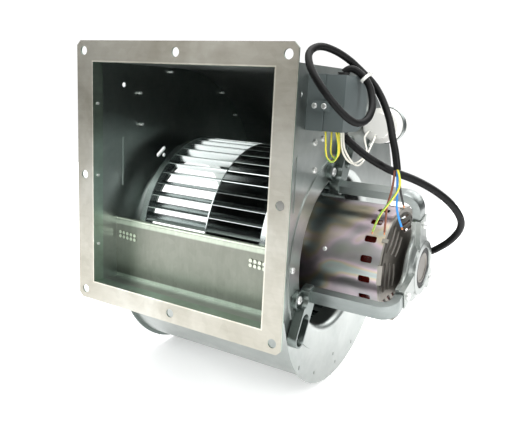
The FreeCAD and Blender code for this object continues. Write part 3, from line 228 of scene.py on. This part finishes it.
def sheet_metal(name, stops, rough=(0.2, 0.4), spangle=0.0, grain=(1, 1, 1), grain_scale=60.0,
                patch_scale=9.0, ripple=0.06, metallic=1.0, tones=(), turned=None, framed=None):
    """Coated or brushed sheet: uneven tone, optional zinc spangle, and a fine grain one way.

    tones holds (axis, (low, high), stops), each a painted shade or painted highlight across the sheet.
    turned is (axis, stops), painted shade that changes with the way a face looks. framed holds the stops of
    painted highlights and a painted shade line across the flange's width.
    """
    material, tree, shader = new_material(name)
    plain = coordinates(tree)
    patches = noise(tree, plain, patch_scale, 4.0, 0.6, 0.4)
    colour = ramp(tree, patches, stops)
    fine = noise(tree, coordinates(tree, grain), grain_scale, 5.0, 0.65)
    grains = ramp(tree, fine, [(0.3, grey(0.38)), (0.7, grey(0.62))])
    colour = mix(tree, "SOFT_LIGHT", 0.35, colour, grains)
    if spangle:
        greys = [(0.0, grey(0.5 - spangle)), (1.0, grey(0.5 + spangle))]
        spangles = ramp(tree, cells(tree, plain, SPANGLE_SCALE), greys)
        colour = mix(tree, "SOFT_LIGHT", 1.0, colour, spangles)
    changes = [(gradient(tree, axis, *span), shades) for axis, span, shades in tones]
    if turned:
        changes.append((facing(tree, turned[0]), turned[1]))
    if framed:
        changes.append((border(tree, *FLANGE_OPENING, FLANGE_WIDTH), framed))
    # Each change multiplies the colour: painted shade where it is below 1, painted highlight where it is
    # above 1.
    for factor, shades in changes:
        colour = mix(tree, "MULTIPLY", 1.0, colour, ramp(tree, factor, shades))
    tree.links.new(colour, shader.inputs["Base Color"])
    tree.links.new(remap(tree, fine, rough[0], rough[1]), shader.inputs["Roughness"])
    shader.inputs["Metallic"].default_value = metallic
    bump(tree, shader, fine, ripple, 0.0006)
    return material


def plastic(name, stops, rough=(0.35, 0.5), scale=400.0, texture=0.1, coat=0.0, patch_scale=14.0,
            shine=0.5):
    """Moulded plastic, rubber or enamel with a fine texture."""
    material, tree, shader = new_material(name)
    plain = coordinates(tree)
    colour = ramp(tree, noise(tree, plain, patch_scale, 3.0), stops)
    tree.links.new(colour, shader.inputs["Base Color"])
    fine = noise(tree, plain, scale, 4.0, 0.6)
    tree.links.new(remap(tree, fine, rough[0], rough[1]), shader.inputs["Roughness"])
    shader.inputs["Coat Weight"].default_value = coat
    shader.inputs["Specular IOR Level"].default_value = shine
    bump(tree, shader, fine, texture, 0.0004)
    return material


def iridescent(name):
    """Passivated zinc: bright metal with faint pink, yellow and blue-green clouds."""
    material, tree, shader = new_material(name)
    clouds = noise(tree, coordinates(tree, (0.9, 1.3, 1.3)), 13.0, 1.5, 0.5, 0.8)
    tint = ramp(tree, clouds, [
        (0.28, (0.38, 0.39, 0.36)), (0.38, (0.43, 0.40, 0.42)), (0.46, (0.64, 0.52, 0.58)),
        (0.54, (0.60, 0.52, 0.38)), (0.62, (0.42, 0.50, 0.49)), (0.74, (0.40, 0.38, 0.37))])
    fine = noise(tree, coordinates(tree, (1, 2, 2)), 90.0, 4.0, 0.6)
    shade = ramp(tree, fine, [(0.3, grey(0.46)), (0.7, grey(0.54))])
    colour = mix(tree, "SOFT_LIGHT", 0.5, tint, shade)
    # Painted shade and painted highlight: darker towards the inlet end and towards the bottom, brightest in
    # a band above the middle, a little darker again at the top.
    along = ramp(tree, gradient(tree, "X", *SHELL_LENGTH), [
        (0.0, grey(0.40)), (0.30, grey(0.62)), (0.55, grey(1.0)), (1.0, grey(1.1))])
    painted_light_by_height = ramp(tree, gradient(tree, "Z", *SHELL_HEIGHTS), [
        (0.0, grey(0.35)), (0.22, grey(0.70)), (0.45, grey(1.0)), (0.72, grey(1.25)), (1.0, grey(0.70))])
    colour = mix(tree, "MULTIPLY", 1.0, mix(tree, "MULTIPLY", 1.0, colour, along), painted_light_by_height)
    tree.links.new(colour, shader.inputs["Base Color"])
    tree.links.new(remap(tree, fine, 0.32, 0.42), shader.inputs["Roughness"])
    shader.inputs["Metallic"].default_value = 1.0
    bump(tree, shader, fine, 0.02, 0.0003)
    return material


def make_materials():
    zinc = [(0.30, (0.37, 0.40, 0.385)), (0.55, (0.445, 0.47, 0.455)), (0.75, (0.53, 0.55, 0.53))]
    return {
        "galvanised": sheet_metal("galvanised", zinc, (0.27, 0.42), spangle=0.02, grain_scale=90.0,
                                  ripple=0.03),
        # The flange: painted shade growing towards the top, painted shade tinted teal on faces that do not
        # look along Y (the opening's inner walls and edges), a painted highlight along the opening's edge,
        # and a painted shade line with a painted highlight at the outer edge.
        "flange": sheet_metal(
            "flange_zinc_painted_light", [(0.30, (0.36, 0.345, 0.295)), (0.50, (0.455, 0.44, 0.39)),
                            (0.72, (0.60, 0.595, 0.55))],
            (0.30, 0.50), spangle=0.03, grain=(1.2, 1, 7), grain_scale=34.0, patch_scale=8.0,
            tones=[("Z", FLANGE_HEIGHTS, [(0.0, (1.06, 1.06, 1.05)), (0.35, (0.95, 0.95, 0.94)),
                                          (1.0, (0.74, 0.725, 0.70))])],
            turned=("Y", [(0.3, (0.56, 0.73, 0.71)), (0.6, grey(1.0))]),
            framed=[(0.0, grey(1.5)), (0.045, grey(1.5)), (0.07, grey(1.0)), (0.94, grey(1.0)),
                    (0.96, grey(0.82)), (1.0, grey(1.2))]),
        # The cut-off plate: its zinc darkened as painted shade, painted highlight on a strip at the bottom
        # next to the duct's floor and along the hem at the top, and painted highlight on the dimples in
        # front of the sheet.
        "cutoff": sheet_metal(
            "cutoff_zinc_painted_light", [(0.3, (0.215, 0.225, 0.195)), (0.7, (0.275, 0.285, 0.25))], (0.30, 0.44),
            spangle=0.03, grain=(6, 1, 1), grain_scale=40.0,
            tones=[("Z", CUTOFF_HEIGHTS, [(0.0, (1.9, 2.15, 2.05)), (0.04, (1.9, 2.15, 2.05)),
                                          (0.055, (0.80, 0.84, 0.80)), (0.86, (1.0, 1.0, 0.98)),
                                          (0.88, (2.1, 2.25, 2.15)), (1.0, (2.5, 2.6, 2.5))]),
                   ("Y", CUTOFF_DIMPLES, [(0.0, (2.8, 2.9, 2.8)), (0.4, (2.8, 2.9, 2.8)),
                                          (0.6, grey(1.0)), (1.0, grey(1.0))])]),
        # The inside of the duct: the same zinc made darker and greener, as painted shade.
        "duct": sheet_metal("duct_zinc_shaded", [(0.30, (0.30, 0.35, 0.33)), (0.55, (0.37, 0.41, 0.39)),
                                          (0.75, (0.44, 0.48, 0.45))],
                            (0.24, 0.38), spangle=0.02, grain_scale=90.0, ripple=0.03),
        "wheel_steel": sheet_metal("wheel_steel", [(0.3, (0.44, 0.49, 0.48)), (0.7, (0.58, 0.62, 0.61))],
                                   (0.16, 0.30), grain=(0.6, 8, 8), grain_scale=50.0),
        "zinc_passivated": iridescent("zinc_passivated"),
        # Painted shade: darker on the faces that look along X, the end faces.
        "shield_grey": sheet_metal("shield_grey", [(0.3, (0.30, 0.28, 0.25)), (0.7, (0.44, 0.42, 0.38))],
                                   (0.32, 0.50), grain_scale=120.0, metallic=0.9,
                                   turned=("X", [(0.6, grey(1.0)), (0.9, (0.50, 0.49, 0.48))])),
        # Painted shade: the arms darker towards the side plate, lightening outwards across the feet.
        "arm_steel": sheet_metal("arm_steel", [(0.3, (0.22, 0.245, 0.24)), (0.7, (0.31, 0.335, 0.325))],
                                 (0.26, 0.40), grain=(0.5, 5, 5), grain_scale=60.0,
                                 tones=[("X", FOOT_DEPTHS, [(0.0, (0.55, 0.60, 0.57)),
                                                            (0.55, (0.85, 0.88, 0.86)),
                                                            (1.0, grey(1.0))])]),
        # Painted shade: the spider darker on faces that lie along X than on those that look along it.
        "cast_alloy": sheet_metal("cast_alloy", [(0.3, (0.32, 0.34, 0.33)), (0.7, (0.43, 0.45, 0.43))],
                                  (0.28, 0.44), grain_scale=260.0, ripple=0.16,
                                  turned=("X", [(0.5, (0.82, 0.83, 0.82)), (0.95, grey(1.0))])),
        "shaft_steel": sheet_metal("shaft_steel", [(0.3, (0.5, 0.5, 0.49)), (0.7, (0.6, 0.6, 0.59))],
                                   (0.18, 0.28), grain=(12, 1, 1), grain_scale=60.0),
        "lamination": sheet_metal("lamination", [(0.3, (0.13, 0.13, 0.14)), (0.7, (0.2, 0.2, 0.2))],
                                  (0.4, 0.55), grain=(60, 1, 1), grain_scale=40.0, ripple=0.3),
        "winding_red": plastic("winding_red", [(0.3, (0.16, 0.015, 0.012)), (0.7, (0.30, 0.035, 0.02))],
                               (0.18, 0.34), scale=260.0, texture=0.5, coat=0.4),
        "bronze": sheet_metal("bronze", [(0.3, (0.42, 0.26, 0.12)), (0.7, (0.55, 0.36, 0.18))],
                              (0.3, 0.45)),
        "screw_zinc": sheet_metal("screw_zinc", [(0.3, (0.72, 0.73, 0.72)), (0.7, (0.86, 0.86, 0.83))],
                                  (0.22, 0.36), grain_scale=300.0, metallic=0.7),
        "rubber_black": plastic("rubber_black", [(0.3, grey(0.018)), (0.7, (0.035, 0.035, 0.034))],
                                (0.55, 0.7), texture=0.2),
        "box_grey": plastic("box_grey", [(0.3, (0.085, 0.105, 0.105)), (0.7, (0.11, 0.13, 0.13))],
                            (0.38, 0.5), scale=900.0, texture=0.18),
        "terminal_white": plastic("terminal_white", [(0.3, (0.70, 0.68, 0.62)), (0.7, (0.8, 0.78, 0.72))]),
        "cable_black": plastic("cable_black", [(0.3, grey(0.002)), (0.7, grey(0.005))],
                               (0.36, 0.50), scale=700.0, texture=0.12, patch_scale=40.0, shine=0.2),
        "core_brown": plastic("core_brown", [(0.3, (0.17, 0.05, 0.025)), (0.7, (0.24, 0.07, 0.035))]),
        "core_blue": plastic("core_blue", [(0.3, (0.03, 0.24, 0.72)), (0.7, (0.05, 0.32, 0.85))]),
        "core_black": plastic("core_black", [(0.3, (0.02, 0.02, 0.022)), (0.7, (0.035, 0.035, 0.035))]),
        "wire_yellow": plastic("wire_yellow", [(0.3, (0.72, 0.60, 0.05)), (0.7, (0.85, 0.72, 0.08))]),
        "wire_green": plastic("wire_green", [(0.3, (0.10, 0.36, 0.06)), (0.7, (0.16, 0.46, 0.09))]),
        "lead_white": plastic("lead_white", [(0.3, (0.70, 0.68, 0.60)), (0.7, (0.82, 0.80, 0.72))]),
        "capacitor_white": plastic("capacitor_white", [(0.3, (0.78, 0.77, 0.73)),
                                                       (0.7, (0.86, 0.85, 0.82))],
                                   (0.25, 0.36), coat=0.2),
        "nylon": plastic("nylon", [(0.3, (0.72, 0.72, 0.68)), (0.7, (0.82, 0.82, 0.78))], (0.3, 0.4)),
        "copper": sheet_metal("copper", [(0.3, (0.72, 0.32, 0.14)), (0.7, (0.86, 0.44, 0.22))],
                              (0.2, 0.34)),
    }


looks = make_materials()
SPECIAL = {"outlet_flange": "flange", "cutoff_plate": "cutoff", "side_plate_left": "duct",
           "inlet_ring_left": "duct"}


def finish_nodes():
    """Every node takes the look of its slot in the record, or one of its own."""
    for part in frame["record"]["subparts"]:
        name = part["node"]
        slot = part["material_slot"]
        look = SPECIAL.get(name) or (slot if slot in looks else "wire_yellow")
        data = nodes[name].data
        data.materials.clear()
        data.materials.append(looks[look])


finish_nodes()


def soften(names, width):
    """Small rounded edges, which catch the light as pressed and cast edges do."""
    for name in names:
        weld = nodes[name].modifiers.new("weld", "WELD")
        weld.merge_threshold = 0.02 * MM
        bevel = nodes[name].modifiers.new("edges", "BEVEL")
        bevel.width = width * MM
        bevel.segments = 2
        bevel.limit_method = "ANGLE"
        bevel.angle_limit = math.radians(40)
        bevel.harden_normals = True


soften(["motor_arm_upper", "motor_arm_lower", "motor_spider", "cord_clamp"], 0.7)
soften(["terminal_box_base", "terminal_box_cover"], 1.0)


# ---------------------------------------------------------------- cords

SUPPLY_ROUTE = [
    (167.5, 98.0, 145.2), (172.5, 100.6, 151.6), (183.8, 105.2, 146.3), (195.4, 107.6, 133.7),
    (201.9, 103.9, 120.0), (206.7, 95.9, 106.0), (206.1, 82.5, 92.6), (199.7, 68.2, 89.3),
    (190.1, 57.7, 97.4), (179.0, 50.3, 110.2), (167.8, 45.7, 123.9), (156.3, 44.5, 138.5),
    (145.8, 48.5, 153.8), (140.8, 58.9, 166.1), (146.2, 74.3, 173.1), (158.0, 91.2, 168.9),
    (169.6, 107.8, 159.6), (181.3, 117.6, 147.5), (194.1, 122.8, 135.6), (204.4, 123.2, 122.2),
    (213.9, 119.3, 107.5), (222.6, 113.2, 92.4), (229.3, 105.8, 75.7), (236.3, 101.9, 58.5),
    (240.8, 98.9, 40.7),
]
MOTOR_ROUTE = [
    (171.5, 97.0, 74.8), (180.5, 100.6, 66.6), (194.3, 103.6, 55.8), (210.6, 110.6, 45.1),
    (228.9, 124.3, 34.7), (250.8, 144.4, 25.9), (274.3, 167.7, 10.0), (291.5, 188.3, -10.5),
    (297.2, 207.5, -32.8), (282.0, 222.0, -57.0), (262.0, 231.0, -74.5), (249.0, 238.0, -83.0),
    (236.0, 239.0, -86.0),
]
CORE_ROUTES = {
    "core_brown": [
        (237.9, 98.9, 43.0), (237.2, 101.2, 30.9), (235.6, 102.3, 14.7), (231.1, 102.9, -2.4),
        (231.3, 104.2, -19.3), (230.6, 105.4, -34.0),
    ],
    "core_yellow_green": [
        (240.6, 96.9, 44.3), (246.0, 97.2, 32.5), (246.3, 95.3, 19.2), (236.8, 94.7, 3.2),
        (224.6, 95.2, -15.0), (219.0, 98.0, -33.5),
    ],
    "core_blue": [
        (239.6, 101.7, 43.2), (240.6, 103.7, 26.5), (241.3, 106.1, 9.5), (242.5, 105.2, -8.3),
        (250.4, 104.6, -24.3),
    ],
    "core_black": [
        (242.6, 99.7, 44.3), (243.9, 101.0, 27.9), (246.7, 101.6, 13.3), (250.3, 104.4, 1.0),
    ],
}
LEAD_ROUTES = {
    "earth_wire_front": [
        (160.0, 75.5, 78.0), (161.5, 75.5, 66.7), (161.6, 75.6, 56.9), (163.3, 76.2, 48.1),
        (169.5, 78.0, 42.4), (174.8, 80.0, 48.8), (174.9, 81.0, 58.5), (173.9, 81.2, 68.1),
        (171.0, 80.4, 78.0),
    ],
    "earth_wire_rear": [
        (164.5, 82.6, 78.0), (164.9, 82.8, 67.2), (164.2, 83.2, 58.4), (165.3, 84.0, 50.5),
        (170.1, 85.2, 46.8), (173.9, 86.2, 51.7), (173.9, 86.6, 59.6), (173.0, 86.0, 67.8),
        (173.0, 83.5, 78.0),
    ],
    "capacitor_lead_lower": [
        (176.8, 87.8, 78.0), (176.8, 90.0, 62.8), (180.0, 94.0, 53.6), (183.4, 100.0, 45.3),
        (186.8, 110.0, 38.4), (187.0, 125.0, 39.3), (183.6, 144.0, 44.0), (177.3, 166.0, 50.1),
        (167.1, 188.0, 56.3), (156.4, 208.0, 62.3), (150.2, 224.0, 67.6), (152.5, 233.0, 73.2),
    ],
    "capacitor_lead_upper": [
        (175.5, 84.6, 78.0), (175.8, 86.5, 62.8), (177.4, 91.0, 52.9), (179.9, 98.0, 45.3),
        (183.0, 108.0, 40.6), (182.7, 125.6, 41.2), (179.2, 152.0, 44.4), (172.0, 184.0, 48.2),
        (168.2, 201.0, 53.2), (166.8, 210.0, 58.3), (164.3, 224.0, 62.6), (161.5, 233.0, 68.2),
    ],
}
SUPPLY_WIDE = 8.4
MOTOR_WIDE = 9.2
CORE_WIDE = 2.5
LEAD_WIDE = 2.4


def spline_object(name, route, width):
    """An open NURBS curve whose control points are the route's points."""
    curve = bpy.data.curves.new(name, "CURVE")
    curve.dimensions = "3D"
    curve.resolution_u = 10
    curve.use_fill_caps = True
    spline = curve.splines.new("NURBS")
    spline.points.add(len(route) - 1)
    for point, place in zip(spline.points, route):
        point.co = (*(v * MM for v in place), 1)
    spline.order_u = 3
    spline.use_endpoint_u = True
    curve.bevel_depth = width * MM / 2
    curve.bevel_resolution = 5
    piece = bpy.data.objects.new(name, curve)
    scene.collection.objects.link(piece)
    return piece


def centreline(route):
    """Points along the route's NURBS curve."""
    bare = spline_object("bare_line", route, 0.0)
    mesh = bpy.data.meshes.new_from_object(bare)
    points = [v.co.copy() for v in mesh.vertices]
    bpy.data.objects.remove(bare)
    bpy.data.meshes.remove(mesh)
    return points


def frames_along(points):
    """Each point with two sides of the line there, turned as little as possible from one to the next."""
    side = None
    result = []
    for number, point in enumerate(points):
        before = points[max(number - 1, 0)]
        after = points[min(number + 1, len(points) - 1)]
        tangent = (after - before).normalized()
        if side is None:
            side = tangent.orthogonal().normalized()
        side = (side - tangent * side.dot(tangent)).normalized()
        result.append((point, side, tangent.cross(side)))
    return result


def new_piece(name, mesh_builder, material, body="housing"):
    mesh = bmesh.new()
    mesh_builder(mesh)
    data = bpy.data.meshes.new(name)
    mesh.normal_update()
    mesh.to_mesh(data)
    mesh.free()
    piece = bpy.data.objects.new(name, data)
    scene.collection.objects.link(piece)
    for look in material if isinstance(material, list) else [material]:
        data.materials.append(look)
    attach(piece, body)
    return piece


def tube(mesh, points, radius, around=12, stripes=None):
    """A closed round tube along points; stripes picks each strip's material."""
    rings = []
    for point, side, other in frames_along(points):
        ring = []
        for step in range(around):
            turn = 2 * math.pi * step / around
            ring.append(mesh.verts.new(point + (side * math.cos(turn) + other * math.sin(turn)) * radius))
        rings.append(ring)
    for number, (low, high) in enumerate(zip(rings, rings[1:])):
        for step in range(around):
            following = (step + 1) % around
            face = mesh.faces.new((low[step], low[following], high[following], high[step]))
            face.smooth = True
            if stripes:
                face.material_index = stripes(number, step)
    mesh.faces.new(list(reversed(rings[0])))
    mesh.faces.new(rings[-1])


def round_cord(name, route, width, look):
    piece = spline_object(name + "_cord", route, width)
    piece.data.materials.append(looks[look])
    return declare(piece, name, route)


def declare(piece, name, route, path=None):
    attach(piece, "housing")
    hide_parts(name)
    points = path or centreline(route)
    return piece


def striped_cord(name, route, width):
    """A green and yellow wire: a mesh tube with two slowly turning stripes."""
    points = centreline(route)
    around = 16

    def stripe(number, step):
        return 1 if (step + number // 9) % 8 < 3 else 0

    piece = new_piece(name + "_cord", lambda mesh: tube(mesh, points, width * MM / 2, around, stripe),
                      [looks["wire_yellow"], looks["wire_green"]])
    return declare(piece, name, route, points)


def bare_strands(name, route, reach):
    """A small twisted bundle of copper strands at the end of a core."""
    points = centreline(route)
    end = points[-1]
    way = (points[-1] - points[-3]).normalized()
    side = way.orthogonal().normalized()
    other = way.cross(side)

    def build(mesh):
        for strand in range(7):
            spread = 0.0 if strand == 0 else 0.00055
            line = []
            for step in range(7):
                share = step / 6
                turn = strand * math.pi / 3 + share * 2.4
                open_out = spread * (1 + 0.5 * share)
                along = end + way * (reach * MM * share * (1 - 0.05 * (strand % 3)) - 0.0012)
                line.append(along + (side * math.cos(turn) + other * math.sin(turn)) * open_out)
            tube(mesh, line, 0.00027, 8)

    piece = new_piece(name, build, looks["copper"])
    return piece


round_cord("supply_cable", SUPPLY_ROUTE, SUPPLY_WIDE, "cable_black")
round_cord("motor_cable", MOTOR_ROUTE, MOTOR_WIDE, "cable_black")
for core in ("core_brown", "core_blue", "core_black"):
    tip = bare_strands(core + "_strands", CORE_ROUTES[core], 4.5)
    round_cord(core, CORE_ROUTES[core], CORE_WIDE, core)
tip = bare_strands("core_yellow_green_strands", CORE_ROUTES["core_yellow_green"], 4.5)
striped_cord("core_yellow_green", CORE_ROUTES["core_yellow_green"], CORE_WIDE)
for lead in ("earth_wire_front", "earth_wire_rear"):
    striped_cord(lead, LEAD_ROUTES[lead], LEAD_WIDE)
for lead in ("capacitor_lead_lower", "capacitor_lead_upper"):
    round_cord(lead, LEAD_ROUTES[lead], LEAD_WIDE, "lead_white")


# ---------------------------------------------------------------- studio

def make_world():
    """White to the camera; to the object, a bright sky over a dim room for the metal to reflect."""
    world = bpy.data.worlds.new("studio")
    scene.world = world
    world.use_nodes = True
    tree = world.node_tree
    tree.nodes.clear()
    output = tree.nodes.new("ShaderNodeOutputWorld")
    seen = tree.nodes.new("ShaderNodeBackground")
    seen.inputs["Color"].default_value = (1, 1, 1, 1)
    seen.inputs["Strength"].default_value = 1.05
    lit = tree.nodes.new("ShaderNodeBackground")
    place = tree.nodes.new("ShaderNodeTexCoord")
    height = remap(tree, axes(tree, place.outputs["Generated"])["Z"], 0.0, 1.0, -1.0, 1.0)
    sky = ramp(tree, height, [
        (0.0, (0.16, 0.17, 0.17)), (0.45, (0.22, 0.23, 0.23)), (0.52, (0.14, 0.15, 0.15)),
        (0.60, (0.20, 0.21, 0.21)), (0.74, (0.70, 0.72, 0.72)), (0.90, grey(1.0))])
    tree.links.new(sky, lit.inputs["Color"])
    lit.inputs["Strength"].default_value = 1.15
    path = tree.nodes.new("ShaderNodeLightPath")
    choose = tree.nodes.new("ShaderNodeMixShader")
    tree.links.new(path.outputs["Is Camera Ray"], choose.inputs["Fac"])
    tree.links.new(lit.outputs["Background"], choose.inputs[1])
    tree.links.new(seen.outputs["Background"], choose.inputs[2])
    tree.links.new(choose.outputs["Shader"], output.inputs["Surface"])


def make_light(name, place, aim, size, power):
    data = bpy.data.lights.new(name, "AREA")
    data.shape = "RECTANGLE"
    data.size, data.size_y = size
    data.energy = power
    light = bpy.data.objects.new(name, data)
    light.location = place
    light.rotation_mode = "QUATERNION"
    light.rotation_quaternion = (Vector(aim) - Vector(place)).to_track_quat("-Z", "Y")
    scene.collection.objects.link(light)


def make_floor(reach):
    low = cad_box[0].z
    mesh = bpy.data.meshes.new("floor")
    corners = [(-reach, -reach, low), (reach, -reach, low), (reach, reach, low), (-reach, reach, low)]
    mesh.from_pydata(corners, [], [(0, 1, 2, 3)])
    floor = bpy.data.objects.new("floor", mesh)
    scene.collection.objects.link(floor)
    material, tree, shader = new_material("floor_white")
    tone = ramp(tree, noise(tree, coordinates(tree), 2.0), [(0.3, grey(0.90)), (0.7, grey(0.93))])
    tree.links.new(tone, shader.inputs["Base Color"])
    shader.inputs["Roughness"].default_value = 0.8
    shader.inputs["Emission Color"].default_value = (1, 1, 1, 1)
    shader.inputs["Emission Strength"].default_value = 0.38
    mesh.materials.append(material)


make_world()
make_floor(1.9)
make_light("overhead", (0.2, 0.1, 2.0), (0, 0.15, -0.1), (2.2, 2.2), 46)
make_light("front_left", (-1.1, -1.5, 1.0), (0, 0.1, 0), (1.0, 1.2), 11)
make_light("right_strip", (1.7, -0.6, 0.8), (0.2, 0.2, -0.1), (0.35, 1.4), 13)
make_light("back", (0.4, 2.0, 1.0), (0, 0.2, 0), (1.8, 0.9), 14)
scene.view_settings.view_transform = "Standard"
